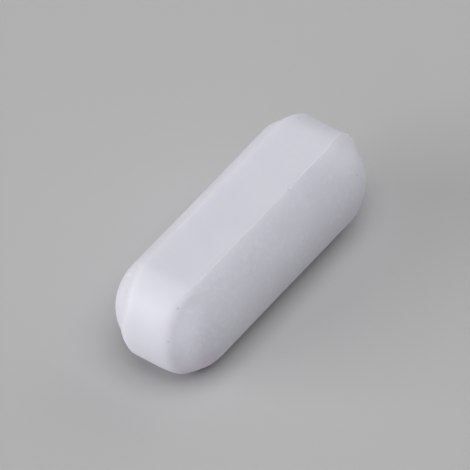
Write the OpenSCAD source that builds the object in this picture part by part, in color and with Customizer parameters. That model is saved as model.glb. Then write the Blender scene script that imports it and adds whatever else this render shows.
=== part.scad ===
// Magnetic stir bar: a cylindrical bar magnet sealed inside a moulded white fluoropolymer casing.
// The bar lies along X on its lower flat. The casing has a flat band, which wraps over the top,
// round both ends and along the bottom, between two domed sides that face -Y and +Y.
// The origin is on the supporting surface, straight below the middle, on the axis it spins about.

/* [Casing] */
// Length over the two end tips
bar_length = 22; // [16:0.5:80]
// Height between the top and bottom flats
bar_height = 8; // [6:0.1:12]
// Width over the two domed sides
bar_width = 8.4; // [6.6:0.1:12]
// Width of the flat band between the domed sides
band_width = 4.2; // [2.8:0.1:5.4]

/* [Ends] */
// Length over which the flats round off into each tip
end_length = 3.3; // [2.8:0.1:4.2]
// Length over which the domed sides close in towards each tip
dome_end_length = 3.7; // [3:0.1:4.2]
// Radius with which they start to bend in
dome_end_radius = 3.8; // [3:0.1:4.5]

/* [Moulding lines] */
// How far the fine beads along the band's long edges stand above its flats
bead_height = 0.05; // [0.02:0.01:0.1]
// Radius of those beads
bead_radius = 0.1; // [0.08:0.01:0.2]

/* [Magnet] */
// Casing wall beside the magnet, at the middle of the bar
side_wall = 1.5; // [1:0.1:2]
// Casing wall between each end of the magnet and the tip, along the bar
end_wall = 3; // [2.5:0.1:5]
// Chamfer on the magnet's ends
magnet_chamfer = 0.4; // [0.1:0.1:0.8]
// Gap left all round the magnet in its sealed cavity
magnet_clearance = 0.01; // [0:0.01:0.1]

/* [Hidden] */
$fn = 96;

half_length = bar_length / 2;
half_height = bar_height / 2;
half_width = bar_width / 2;
half_band = band_width / 2;
centre_height = half_height + bead_height;

// Side view of the band: corner arcs, tangent to the flats, run into a blunter nose arc at each tip.
// Both arcs' centres lie on a line with this direction, so they share a tangent where they meet.
join = [0.8, 0.6];
centre_spacing = (half_height - end_length) / (join.x + join.y - 1);
corner_radius = half_height - join.y * centre_spacing;
corner_x = half_length - end_length;
nose_radius = corner_radius + centre_spacing;

// Each domed side is part of a body of revolution, whose axis lies beyond the middle from it.
// Its end bends in until it slopes along a straight taper with this outward normal.
dome_rise = half_width - half_band;
dome_radius = (half_height ^ 2 + dome_rise ^ 2) / (2 * dome_rise);
dome_axis_y = dome_radius - half_width;
dome_end_x = half_length - dome_end_length;
taper_normal = [0.6, 0.8];

// How far the body of revolution runs on past the tips, for the band to cut
overrun = 0.5;

magnet_radius = min(half_height, half_width) - side_wall;
magnet_length = bar_length - 2 * end_wall;

// Slice of a disc between two unit directions
module slice(radius, from, to) {
    reach = 2 * radius;
    intersection() {
        circle(r = radius);
        polygon([[0, 0], reach * from, reach * (from + to), reach * to]);
    }
}

// Band's outline seen from the side: length along X, height along Y
module band_outline() {
    square([2 * corner_x, bar_height], center = true);
    for (end = [0, 1]) mirror([end, 0]) {
        translate([half_length - nose_radius, 0]) slice(nose_radius, [join.x, -join.y], join);
        for (face = [0, 1]) mirror([0, face])
            translate([corner_x, half_height - corner_radius]) slice(corner_radius, join, [0, 1]);
    }
}

// Section of the domed sides' body of revolution, from its wall inwards: radius along X, axis along Y
module dome_wall() {
    depth = 2 * dome_radius;
    bend = [-dome_end_radius, dome_end_x];
    taper = bend + dome_end_radius * taper_normal;
    run = half_length + overrun - taper.y;
    tip = taper + [-run * taper_normal.y / taper_normal.x, run];
    translate([-depth, -dome_end_x]) square([depth, 2 * dome_end_x]);
    for (end = [0, 1]) mirror([0, end]) {
        translate(bend) slice(dome_end_radius, [1, 0], taper_normal);
        polygon([[-depth, dome_end_x], bend, taper, tip, [-depth, tip.y]]);
    }
}

// Body of revolution along X that the domed sides belong to
module dome_body() {
    reach = half_length + 2 * overrun;
    rotate([0, 90, 0]) rotate_extrude() intersection() {
        translate([dome_radius, 0]) dome_wall();
        translate([0, -reach]) square(2 * reach);
    }
}

// Outside of the casing without its beads, centred on the origin
module casing_body() {
    intersection() {
        rotate([90, 0, 0]) linear_extrude(height = bar_width, center = true) band_outline();
        translate([0, dome_axis_y, 0]) dome_body();
        translate([0, -dome_axis_y, 0]) dome_body();
    }
}

// Fine raised lines along the four long edges of the band
module beads() {
    bead_z = half_height + bead_height - bead_radius;
    for (y = [-half_band, half_band], z = [-bead_z, bead_z]) translate([0, y, z]) {
        rotate([0, 90, 0]) cylinder(h = 2 * corner_x, r = bead_radius, center = true);
        for (x = [-corner_x, corner_x]) translate([x, 0, 0]) sphere(r = bead_radius);
    }
}

// The magnet's shape, made larger all round by a gap
module magnet_shape(gap) {
    radius = magnet_radius + gap;
    end_x = magnet_length / 2 + gap;
    rotate([0, 90, 0]) rotate_extrude() polygon([
        [0, -end_x],
        [radius - magnet_chamfer, -end_x],
        [radius, magnet_chamfer - end_x],
        [radius, end_x - magnet_chamfer],
        [radius - magnet_chamfer, end_x],
        [0, end_x],
    ]);
}

module casing() {
    color([0.93, 0.93, 0.95]) translate([0, 0, centre_height]) difference() {
        union() {
            casing_body();
            beads();
        }
        magnet_shape(magnet_clearance);
    }
}

module magnet() {
    color([0.38, 0.38, 0.4]) translate([0, 0, centre_height]) magnet_shape(0);
}

casing();
magnet();
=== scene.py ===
import math

import bmesh
import bpy
import numpy as np
from mathutils import Matrix, Vector, noise


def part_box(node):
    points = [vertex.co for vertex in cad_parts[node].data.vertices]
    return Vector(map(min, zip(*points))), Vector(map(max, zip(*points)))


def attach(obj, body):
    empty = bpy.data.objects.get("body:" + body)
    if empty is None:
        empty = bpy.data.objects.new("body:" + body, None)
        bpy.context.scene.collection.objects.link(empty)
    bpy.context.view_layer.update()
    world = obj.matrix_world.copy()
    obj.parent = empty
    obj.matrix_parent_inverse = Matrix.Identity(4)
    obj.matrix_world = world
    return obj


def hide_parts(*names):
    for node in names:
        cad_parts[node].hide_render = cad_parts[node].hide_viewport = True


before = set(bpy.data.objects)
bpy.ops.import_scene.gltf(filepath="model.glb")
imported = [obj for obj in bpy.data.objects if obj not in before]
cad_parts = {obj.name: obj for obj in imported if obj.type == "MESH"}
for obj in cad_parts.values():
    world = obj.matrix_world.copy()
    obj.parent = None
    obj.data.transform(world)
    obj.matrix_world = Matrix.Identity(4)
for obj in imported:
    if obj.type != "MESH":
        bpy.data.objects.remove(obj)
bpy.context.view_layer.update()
print("frame loaded")

mm = 0.001
low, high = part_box("casing")
size = high - low
middle = (low + high) / 2

# the moulded casing, in millimetres
casingShape = {
    "beadHeight": 0.05,       # moulding lines stand this far above the flats
    "bandWidth": 4.2,
    "endLength": 3.3,         # flats round off over this length
    "domeEndLength": 3.7,     # domes close in over this length
    "domeEndRadius": 3.8,
    "noseJoin": (0.8, 0.6),   # direction, along and up, where a corner arc runs into the nose arc
    "domeTaper": (0.6, 0.8),  # outward direction, along Y and X, of the taper at each dome's ends
    # the rim at each corner, towards -X or +X and -Y or +Y: how far it is rounded along the flats
    # and round the end, then how high its moulding line stands along the flats and round the end
    "rims": {
        (-1, -1): (0.14, 1.5, 0.056, 0.0),    # worn
        (1, -1): (0.14, 0.4, 0.056, 0.045),
        (-1, 1): (0.36, 0.8, 0.016, 0.026),
        (1, 1): (0.36, 0.4, 0.016, 0.04),
    },
    "endTurn": 0.5,           # radians of the corner arc over which a rim takes its end's values
    "ridgeWidth": 0.095,      # from the middle of a moulding line to where it has mostly died away
    "tipFade": (0.6, 1.2),    # moulding lines are lower by this share, this near the tips
    # swells and hollows of the domes round the ends: height, distance from the rim, width
    "domeSwells": ((-0.105, 1.05, 0.75), (0.02, 2.45, 0.8)),
    "swellStart": 0.7,        # they fade in over this distance from the rim
    "domeFade": 2,            # and everything raised fades out this near the middle of a dome
    "lean": (0.6, 0.4),       # it leans out over the domes by these radians, this far from the rim
    "crown": 0.04,            # the flats swell this much towards their middle

    # small irregularities of the moulding
    "wander": 0.03,           # moulding lines stray sideways by up to this
    # the waves they stray in: turns along X and up Z, where the noise is read, and share
    "wanderWaves": ((1.1, 0.9, 9, 1), (3.1, 2.7, 5, 0.6)),
    "wanderReach": 0.35,      # the surface strays with them this far from the rim
    "unevenness": 0.018,      # height of the slow waves in the surface
    "slowWave": 0.42,         # turns of those waves for each millimetre
    "bandCalm": 0.5,          # share of their height that they have on the band

    # the sealed space round the magnet
    "cavityGap": 0.01,
    "cavityChamfer": 0.4,
    "cavitySides": 96,

    # how finely the mesh is cut
    "flatCuts": 30,           # steps in a quarter of the band's side view: along the flat,
    "cornerCuts": 22,         # round the corner arc
    "noseCuts": 20,           # and round the nose arc
    "bandCuts": 14,           # steps across: over the band,
    "rimCuts": 30,            # over the rim
    "domeCuts": 40,           # and on to the middle of a dome
    "rimReach": 0.8,          # the rim's fine steps reach this far either side of it
    "domeSamples": 400,       # points that measure a line over a dome
    "roundingSamples": 33,    # points that a rim's rounding is averaged from
}


def bandOutline(s):
    # points and outward angles on a quarter of the band's side view, from the middle of the flat
    # to the tip
    halfLength = size.x / mm / 2
    halfHeight = size.z / mm / 2 - s["beadHeight"]
    join = s["noseJoin"]
    spacing = (halfHeight - s["endLength"]) / (join[0] + join[1] - 1)
    cornerRadius = halfHeight - join[1] * spacing
    noseRadius = cornerRadius + spacing
    cornerX = halfLength - s["endLength"]
    cornerZ = halfHeight - cornerRadius
    joinAngle = math.atan2(join[1], join[0])
    points = []
    for i in range(s["flatCuts"]):
        points.append((cornerX * i / s["flatCuts"], halfHeight, math.pi / 2))
    for i in range(s["cornerCuts"]):
        a = math.pi / 2 + (joinAngle - math.pi / 2) * i / s["cornerCuts"]
        x = cornerX + cornerRadius * math.cos(a)
        points.append((x, cornerZ + cornerRadius * math.sin(a), a))
    for i in range(s["noseCuts"] + 1):
        a = joinAngle * (1 - i / s["noseCuts"])
        points.append((halfLength - noseRadius * (1 - math.cos(a)), noseRadius * math.sin(a), a))
    return np.array(points)


def domeDepth(x, z, s):
    # how far a dome stands out from the middle, over a point of the side view
    halfLength = size.x / mm / 2
    halfWidth = size.y / mm / 2
    halfHeight = size.z / mm / 2 - s["beadHeight"]
    rise = halfWidth - s["bandWidth"] / 2
    domeRadius = (halfHeight**2 + rise**2) / (2 * rise)
    endRadius = s["domeEndRadius"]
    taperY, taperX = s["domeTaper"]
    bend = np.maximum(np.abs(x) - (halfLength - s["domeEndLength"]), 0)
    onArc = np.minimum(bend, taperX * endRadius)
    drop = endRadius - np.sqrt(endRadius**2 - onArc**2) + (bend - onArc) * taperX / taperY
    return np.sqrt((domeRadius - drop) ** 2 - z**2) - (domeRadius - halfWidth)


def bellCurve(distance, width):
    return np.exp(-((distance / width) ** 2))


def domeLines(x, z, angle, s):
    # for each step of the outline, points over a dome from its rim to its middle, closer together
    # near the rim, and how far along the surface each one is
    crowding = 1.5
    straightIn = 0.9     # the lines first run in square to the outline, then make for the middle
    straightBy = 0.3
    turnFrom = 0.02
    inwards = np.linspace(0, 1, s["domeSamples"]) ** crowding
    inset = straightIn * np.sin(np.clip(inwards / straightBy, 0, 1) * math.pi / 2)
    shrink = 1 - np.clip((inwards - turnFrom) / (1 - turnFrom), 0, 1)
    lineX = (x[:, None] - np.cos(angle)[:, None] * inset) * shrink
    lineZ = (z[:, None] - np.sin(angle)[:, None] * inset) * shrink
    lines = np.stack([lineX, domeDepth(lineX, lineZ, s), lineZ], axis=-1)
    hops = np.linalg.norm(np.diff(lines, axis=1), axis=2)
    run = np.concatenate([np.zeros((len(x), 1)), np.cumsum(hops, axis=1)], axis=1)
    return lines, run


def pathSteps(rimY, length, s):
    # distances from the rim, less than 0 on the band, of a path's mesh points, which crowd
    # together at the rim
    rimCrowding = 1.6
    domeCrowding = 1.15
    reach = s["rimReach"]
    onBand = -(rimY - np.linspace(0, rimY - reach, s["bandCuts"], endpoint=False))
    onRim = np.linspace(-1, 1, s["rimCuts"], endpoint=False)
    onRim = reach * np.sign(onRim) * np.abs(onRim) ** rimCrowding
    onDome = np.linspace(0, 1, s["domeCuts"] + 1) ** domeCrowding
    return np.concatenate([onBand, onRim, reach + (length - reach) * onDome])


def crossPaths(s, rim):
    # for each step of the outline, a path from the middle of the band, over the rim, to the middle
    # of a dome; the fourth column is the distance from the rim
    x, z, angle = bandOutline(s).T
    rimY = domeDepth(x, z, s)
    lines, run = domeLines(x, z, angle, s)

    # how near each path is to the ends: 0 along the flats, 1 round the tips
    nearEnd = np.clip((np.pi / 2 - angle) / s["endTurn"], 0, 1)
    nearEnd = nearEnd**2 * (3 - 2 * nearEnd)
    softAlong, softEnd, ridgeAlong, ridgeEnd = rim
    soft = softAlong + (softEnd - softAlong) * nearEnd
    ridge = ridgeAlong + (ridgeEnd - ridgeAlong) * nearEnd
    fadeShare, fadeHeight = s["tipFade"]
    leanMost, leanReach = s["lean"]
    ridge *= 1 - fadeShare * bellCurve(z, fadeHeight)
    spread = np.linspace(-1, 1, s["roundingSamples"])
    weight = np.cos(spread * math.pi / 2) ** 2 + 1e-9

    paths = []
    for k in range(len(x)):
        length = run[k, -1]
        along = pathSteps(rimY[k], length, s)
        # the rim is rounded by taking the mean of the path over a short stretch
        width = soft[k] * np.clip((length - along) / soft[k], 0, 1)
        at = along[:, None] + spread[None, :] * width[:, None]
        points = np.zeros((len(along), 4))
        for axis, start, slope in ((0, x[k], 0), (1, rimY[k], 1), (2, z[k], 0)):
            onDome = np.interp(at, run[k], lines[k, :, axis])
            sharp = np.where(at < 0, start + slope * at, onDome)
            points[:, axis] = (sharp * weight).sum(1) / weight.sum()
        points[:, 3] = along
        lift = ridge[k] * bellCurve(along, s["ridgeWidth"])
        fadeIn = nearEnd[k] * np.clip(along / s["swellStart"], 0, 1)
        for height, distance, wide in s["domeSwells"]:
            lift += fadeIn * height * bellCurve(along - distance, wide)
        lift *= np.clip((length - along) / s["domeFade"], 0, 1)
        crown = s["crown"] * (1 - nearEnd[k])
        lift += crown * np.clip(1 - (points[:, 1] / rimY[k]) ** 2, 0, 1) * (along < 0)
        lean = leanMost * np.clip(along / leanReach, 0, 1)
        points[:, 0] += lift * np.cos(angle[k]) * np.cos(lean)
        points[:, 1] += lift * np.sin(lean)
        points[:, 2] += lift * np.sin(angle[k]) * np.cos(lean)
        paths.append(points)
    return np.array(paths)


def weather(place, alongRim, s):
    # a point of the surface, moved by the small irregularities
    side = math.copysign(1, place.y)
    stray = 0
    for alongX, upZ, offset, share in s["wanderWaves"]:
        stray += share * noise.noise(Vector((place.x * alongX, side * offset, place.z * upZ)))
    nearRim = math.exp(-((alongRim / s["wanderReach"]) ** 2))
    place.y -= side * s["wander"] * nearRim * (0.5 + 0.5 * stray)
    wave = 0.5 + 0.5 * noise.noise(place * s["slowWave"])
    clearOfRim = nearRim < 0.01
    onBand = abs(place.y) < s["bandWidth"] / 2 and clearOfRim
    deep = s["unevenness"] * wave * (1 - nearRim) * (s["bandCalm"] if onBand else 1)
    return place * (1 - deep / place.length)


def buildCasing(s):
    paths = {corner: crossPaths(s, rim) for corner, rim in s["rims"].items()}
    quarter, rings = (count - 1 for count in paths[1, 1].shape[:2])
    bm = bmesh.new()
    bmesh.ops.create_uvsphere(bm, u_segments=4 * quarter, v_segments=2 * rings, radius=1,
                              matrix=Matrix.Rotation(math.pi / 2, 4, "X"))
    # each point of the ball goes to its place on the casing: its turn about Y picks the path, and
    # its latitude the step
    for v in bm.verts:
        turn = round(math.atan2(abs(v.co.z), abs(v.co.x)) / (math.pi / 2) * quarter)
        step = round(math.asin(min(1, abs(v.co.y))) / (math.pi / 2) * rings)
        corner = (-1 if v.co.x < 0 else 1, -1 if v.co.y < 0 else 1)
        x, y, z, alongRim = paths[corner][quarter - turn, step]
        place = Vector([math.copysign(p, q) for p, q in zip((x, y, z), v.co)])
        v.co = weather(place, alongRim, s) * mm
    for f in bm.faces:
        f.smooth = True
    bm.normal_update()
    bmesh.ops.translate(bm, vec=middle, verts=bm.verts)
    addCavity(bm, s)
    return toObject(bm, "moulded_casing")


def addCavity(bm, s):
    magnetLow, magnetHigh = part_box("magnet")
    radius = (magnetHigh.z - magnetLow.z) / 2 + s["cavityGap"] * mm
    half = (magnetHigh.x - magnetLow.x) / 2 + s["cavityGap"] * mm
    chamfer = s["cavityChamfer"] * mm
    section = ((-half, 0), (-half, radius - chamfer), (chamfer - half, radius))
    section += tuple((-x, r) for x, r in reversed(section))
    wall = bmesh.new()
    ends = [wall.verts.new((x, 0, r)) for x, r in section]
    edges = [wall.edges.new(pair) for pair in zip(ends, ends[1:])]
    bmesh.ops.spin(wall, geom=ends + edges, cent=(0, 0, 0), axis=(1, 0, 0), angle=2 * math.pi,
                   steps=s["cavitySides"], use_merge=True)
    bmesh.ops.remove_doubles(wall, verts=wall.verts, dist=1e-7)
    wall.normal_update()
    bmesh.ops.recalc_face_normals(wall, faces=wall.faces)
    bmesh.ops.reverse_faces(wall, faces=wall.faces)    # its faces look in at the magnet
    bmesh.ops.translate(wall, vec=middle, verts=wall.verts)
    spare = bpy.data.meshes.new("cavity")
    wall.to_mesh(spare)
    wall.free()
    bm.from_mesh(spare)
    bpy.data.meshes.remove(spare)


def toObject(bm, name):
    mesh = bpy.data.meshes.new(name)
    bm.to_mesh(mesh)
    bm.free()
    piece = bpy.data.objects.new(name, mesh)
    bpy.context.scene.collection.objects.link(piece)
    return piece


def newMaterial(name):
    material = bpy.data.materials.new(name)
    material.use_nodes = True
    tree = material.node_tree
    return material, tree, tree.nodes["Principled BSDF"]


def addNode(tree, kind, settings=None, inputs=None):
    node = tree.nodes.new(kind)
    for name, value in (settings or {}).items():
        setattr(node, name, value)
    for name, value in (inputs or {}).items():
        if isinstance(value, bpy.types.NodeSocket):
            tree.links.new(value, node.inputs[name])
        else:
            node.inputs[name].default_value = value
    return node


def noiseAt(tree, coords, scale, detail, rough=0.5):
    inputs = {"Vector": coords, "Scale": scale, "Detail": detail, "Roughness": rough}
    return addNode(tree, "ShaderNodeTexNoise", {}, inputs).outputs["Fac"]


def stretch(tree, value, fromLow, fromHigh, toLow=0.0, toHigh=1.0):
    inputs = {"Value": value, "From Min": fromLow, "From Max": fromHigh, "To Min": toLow,
              "To Max": toHigh}
    made = addNode(tree, "ShaderNodeMapRange", {"interpolation_type": "SMOOTHSTEP"}, inputs)
    return made.outputs["Result"]


def maths(tree, operation, a, b=0.0):
    return addNode(tree, "ShaderNodeMath", {"operation": operation}, {0: a, 1: b}).outputs[0]


def distanceTo(tree, coords, place):
    # place is in millimetres from the middle of the bar
    inputs = {0: coords, 1: Vector(place) * mm + middle}
    made = addNode(tree, "ShaderNodeVectorMath", {"operation": "DISTANCE"}, inputs)
    return made.outputs["Value"]


def blendColours(tree, share, a, b):
    made = addNode(tree, "ShaderNodeMix", {"data_type": "RGBA"}, {"Factor": share})
    # this node has sockets for every kind of data: 6 and 7 take its colours, and 2 gives the blend
    for socket, value in ((made.inputs[6], a), (made.inputs[7], b)):
        if isinstance(value, bpy.types.NodeSocket):
            tree.links.new(value, socket)
        else:
            socket.default_value = (*value, 1)
    return made.outputs[2]


def addBump(tree, shader, height, strength, depth):
    inputs = {"Height": height, "Strength": strength, "Distance": depth * mm}
    bump = addNode(tree, "ShaderNodeBump", {}, inputs)
    tree.links.new(bump.outputs["Normal"], shader.inputs["Normal"])


# most of a noise pattern lies between these
noiseLow = 0.3
noiseHigh = 0.7

# white fluoropolymer: places in millimetres from the middle of the bar, and patterns in the number
# of their waves for each metre
fluoropolymer = {
    "colour": (0.79, 0.789, 0.87),
    "paler": (0.852, 0.852, 0.95),
    "clouds": (330, 0.12, 0.36),      # waves, then the share of paler colour from least to most
    "flecks": (2900, 0.45, 0.72),     # waves, then where in the pattern they start and are full
    "fleckPatches": (260, 0.38, 0.62, 0.3),    # the same for patches of them, and share between
    "flecksOnBand": 0.08,             # share of the flecks that shows on the band
    "domeStart": (2.0, 2.6),          # the domes' finish takes over between these, along Y
    "paintedHighlightLine": (-2.1, 4.02),       # Y, and Z up and down, of moulding lines painted whiter as a highlight where their crests catch the light
    "paintedHighlightWidth": (0.15, 0.05),      # where that starts, and is full
    "paintedHighlightShare": 0.35,
    # painted highlight: a paler patch where the far end bends
    "paintedBendHighlight": (7.5, -2.9, 3.3),
    "paintedBendHighlightReach": (2.1, 0.2),
    "paintedBendHighlightShare": 0.85,
    "pinkReflection": (0.80, 0.67, 0.78),      # a faint painted pink reflection low on one end
    "pinkReflectionPlace": (-8.9, -3.5, -2.4),
    "pinkReflectionReach": (2.8, 0.3),
    "pinkReflectionShare": 0.65,
    "speckColour": (0.34, 0.33, 0.37),
    "speckShare": 0.3,
    "speckCore": 0.3,                 # share of a speck's radius in which it is full
    "specks": ((-9.33, -1.91, 3.25, 0.13), (-10.64, -1.88, 1.12, 0.11), (2.91, -2.11, 4.02, 0.12),
               (8.24, -3.79, 1.62, 0.1), (8.76, 1.3, 3.8, 0.11)),
    "scatteredSpecks": (420, 0.045, 0.015),
    "roughness": (700, 0.36, 0.46),   # waves, then from least to most
    "domeRoughness": 0.06,            # the domes are rougher by this
    "grain": 5200,
    "pits": (1900, 0.4, 1.6),         # waves, then depth on the band and on the domes
    "bump": (0.25, 0.008),            # strength and depth
    "refraction": 1.36,
    "throughGlow": 1.5,               # how far light spreads inside
    "glowColour": (1, 0.95, 1),       # its share of that for each colour
}


def fadeAround(tree, coords, place, reach, share):
    # share at a place, fading to 0 at the first of the two distances in reach
    edge, core = reach
    away = distanceTo(tree, coords, place)
    return stretch(tree, away, edge * mm, core * mm, toHigh=share)


def paintedHighlightLines(tree, parts, look):
    # 1 along the moulding lines on one side, above and below, and 0 away from them: the mask of a
    # painted highlight where their crests catch the light
    lineY, lineZ = look["paintedHighlightLine"]
    edge, core = look["paintedHighlightWidth"]
    sideways = maths(tree, "ADD", parts.outputs["Y"], -lineY * mm)
    upwards = maths(tree, "ABSOLUTE", maths(tree, "SUBTRACT", parts.outputs["Z"], middle.z))
    upwards = maths(tree, "SUBTRACT", upwards, lineZ * mm)
    sideways = maths(tree, "MULTIPLY", sideways, sideways)
    upwards = maths(tree, "MULTIPLY", upwards, upwards)
    away = maths(tree, "SQRT", maths(tree, "ADD", sideways, upwards))
    return stretch(tree, away, edge * mm, core * mm)


def fluoropolymerMaterial(look):
    material, tree, shader = newMaterial("white_fluoropolymer")
    coords = addNode(tree, "ShaderNodeTexCoord").outputs["Object"]
    parts = addNode(tree, "ShaderNodeSeparateXYZ", {}, {"Vector": coords})
    fromMiddle = maths(tree, "ABSOLUTE", parts.outputs["Y"])
    domeStart, domeFull = look["domeStart"]
    onDome = stretch(tree, fromMiddle, domeStart * mm, domeFull * mm)

    # cloudy patches all over, with finer flecks on the domes
    waves, least, most = look["clouds"]
    clouds = noiseAt(tree, coords, waves, detail=3)
    clouds = stretch(tree, clouds, noiseLow, noiseHigh, least, most)
    waves, start, full = look["flecks"]
    flecks = stretch(tree, noiseAt(tree, coords, waves, detail=5, rough=0.62), start, full)
    waves, start, full, between = look["fleckPatches"]
    patches = stretch(tree, noiseAt(tree, coords, waves, detail=2), start, full, toLow=between)
    flecks = maths(tree, "MULTIPLY", flecks, patches)
    shown = stretch(tree, onDome, 0, 1, toLow=look["flecksOnBand"])
    flecks = maths(tree, "MULTIPLY", flecks, shown)
    # painted highlight: the moulding lines on the -Y side are painted whiter where their crests
    # catch the light
    lineHighlight = maths(tree, "MULTIPLY", paintedHighlightLines(tree, parts, look), look["paintedHighlightShare"])
    share = maths(tree, "ADD", maths(tree, "ADD", clouds, flecks), lineHighlight)
    colour = blendColours(tree, share, look["colour"], look["paler"])

    # a painted highlight on the bend of one end, and a faint painted pink reflection low on the
    # other
    # painted highlight: the far end's bend is painted paler
    share = fadeAround(tree, coords, look["paintedBendHighlight"], look["paintedBendHighlightReach"],
                       look["paintedBendHighlightShare"])
    colour = blendColours(tree, share, colour, look["paler"])
    # painted reflection: a faint pink tint low on the near end
    share = fadeAround(tree, coords, look["pinkReflectionPlace"], look["pinkReflectionReach"], look["pinkReflectionShare"])
    colour = blendColours(tree, share, colour, look["pinkReflection"])

    # fine dark specks: scattered ones, and a few in known places
    waves, edge, core = look["scatteredSpecks"]
    scatter = addNode(tree, "ShaderNodeTexVoronoi", {}, {"Vector": coords, "Scale": waves})
    marks = stretch(tree, scatter.outputs["Distance"], edge, core)
    for x, y, z, radius in look["specks"]:
        reach = (radius, radius * look["speckCore"])
        marks = maths(tree, "MAXIMUM", marks, fadeAround(tree, coords, (x, y, z), reach, 1))
    marks = maths(tree, "MULTIPLY", marks, look["speckShare"])
    colour = blendColours(tree, marks, colour, look["speckColour"])
    tree.links.new(colour, shader.inputs["Base Color"])

    # satin skin: slightly rougher on the domes, with a fine grain
    waves, least, most = look["roughness"]
    roughness = noiseAt(tree, coords, waves, detail=3)
    roughness = stretch(tree, roughness, noiseLow, noiseHigh, least, most)
    rougher = maths(tree, "MULTIPLY", onDome, look["domeRoughness"])
    tree.links.new(maths(tree, "ADD", roughness, rougher), shader.inputs["Roughness"])
    grain = noiseAt(tree, coords, look["grain"], detail=3, rough=0.6)
    waves, onBand, onDomes = look["pits"]
    depth = stretch(tree, onDome, 0, 1, onBand, onDomes)
    pits = maths(tree, "MULTIPLY", noiseAt(tree, coords, waves, detail=2), depth)
    addBump(tree, shader, maths(tree, "ADD", grain, pits), *look["bump"])
    shader.inputs["IOR"].default_value = look["refraction"]
    shader.inputs["Subsurface Weight"].default_value = 1
    shader.inputs["Subsurface Radius"].default_value = look["glowColour"]
    shader.inputs["Subsurface Scale"].default_value = look["throughGlow"] * mm
    return material


# cast magnet alloy: dark grey metal with a sandy skin
magnetAlloy = {
    "dark": (0.10, 0.10, 0.105),
    "pale": (0.29, 0.285, 0.29),
    "roughness": 0.52,
    "skin": 1500,             # waves for each metre
    "bump": (0.4, 0.03),      # strength, and depth in millimetres
}


def magnetMaterial(look):
    material, tree, shader = newMaterial("cast_magnet_alloy")
    coords = addNode(tree, "ShaderNodeTexCoord").outputs["Object"]
    skin = noiseAt(tree, coords, look["skin"], detail=5, rough=0.6)
    share = stretch(tree, skin, noiseLow, noiseHigh)
    colour = blendColours(tree, share, look["dark"], look["pale"])
    tree.links.new(colour, shader.inputs["Base Color"])
    addBump(tree, shader, skin, *look["bump"])
    shader.inputs["Metallic"].default_value = 1
    shader.inputs["Roughness"].default_value = look["roughness"]
    return material


casing = buildCasing(casingShape)
casing.data.materials.append(fluoropolymerMaterial(fluoropolymer))
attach(casing, "root")
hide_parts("casing")
print("casing built:", len(casing.data.polygons), "faces")

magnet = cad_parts["magnet"]
magnetFinish = magnetMaterial(magnetAlloy)
for slot in magnet.material_slots:
    slot.material = magnetFinish
print("magnet finished:", len(magnet.material_slots), "material slot")

# lengths in metres, angles in degrees, power in watts
studio = {
    "floorRadius": 3.0,
    "floorSides": 96,
    "floorColour": (0.56, 0.56, 0.565),
    "floorRoughness": 0.9,
    "surround": 0.05,
    # each lamp: turn about Z from +X, height, distance, width, power
    "lamps": (
        ("side_softbox", 140, 12, 0.9, 0.8, 6.3),
        ("near_fill", 180, 15, 0.9, 0.8, 1.5),
        ("high_softbox", 256, 76, 0.9, 0.7, 4.25),
        ("right_fill", 335, 30, 0.9, 0.7, 1.3),
        ("far_fill", 15, 30, 0.9, 0.7, 0.7),
    ),
}


def buildFloor(s):
    bm = bmesh.new()
    bmesh.ops.create_circle(bm, cap_ends=True, segments=s["floorSides"], radius=s["floorRadius"])
    floor = toObject(bm, "studio_floor")
    material, _, shader = newMaterial("studio_floor")
    shader.inputs["Base Color"].default_value = (*s["floorColour"], 1)
    shader.inputs["Roughness"].default_value = s["floorRoughness"]
    floor.data.materials.append(material)


def addLamp(name, turn, height, distance, width, power):
    lamp = bpy.data.lights.new(name, "AREA")
    lamp.energy = power
    lamp.size = width
    holder = bpy.data.objects.new(name, lamp)
    turn = math.radians(turn)
    height = math.radians(height)
    level = math.cos(height)
    aim = Vector((math.cos(turn) * level, math.sin(turn) * level, math.sin(height)))
    holder.location = middle + aim * distance
    holder.rotation_euler = aim.to_track_quat("Z", "Y").to_euler()
    bpy.context.scene.collection.objects.link(holder)


def addSurround(strength):
    world = bpy.data.worlds.new("studio")
    world.use_nodes = True
    background = world.node_tree.nodes["Background"]
    background.inputs["Color"].default_value = (1, 1, 1, 1)
    background.inputs["Strength"].default_value = strength
    bpy.context.scene.world = world


# angles in degrees, lens, sensor and aim in millimetres, distance and clipping in metres
cameraPlace = {
    "azimuth": -49.42,
    "elevation": 47.21,
    "roll": -5.38,
    "distance": 0.8456,
    "aim": (0.122, 0.578, 4.484),
    "lens": 959.8,
    "sensor": 36,
    "clip": (0.01, 20),
}


def addCamera(c):
    camera = bpy.data.cameras.new("camera")
    camera.lens = c["lens"]
    camera.sensor_width = c["sensor"]
    camera.clip_start, camera.clip_end = c["clip"]
    holder = bpy.data.objects.new("camera", camera)
    turn = Matrix.Rotation(math.radians(c["azimuth"]), 4, "Z")
    turn @= Matrix.Rotation(math.radians(90 - c["elevation"]), 4, "X")
    turn @= Matrix.Rotation(math.radians(c["roll"]), 4, "Z")
    place = Vector(c["aim"]) * mm + turn @ Vector((0, 0, c["distance"]))
    holder.matrix_world = Matrix.Translation(place) @ turn
    bpy.context.scene.collection.objects.link(holder)
    bpy.context.scene.camera = holder


buildFloor(studio)
for lamp in studio["lamps"]:
    addLamp(*lamp)
addSurround(studio["surround"])
bpy.context.scene.view_settings.view_transform = "Standard"
addCamera(cameraPlace)
print("studio ready")
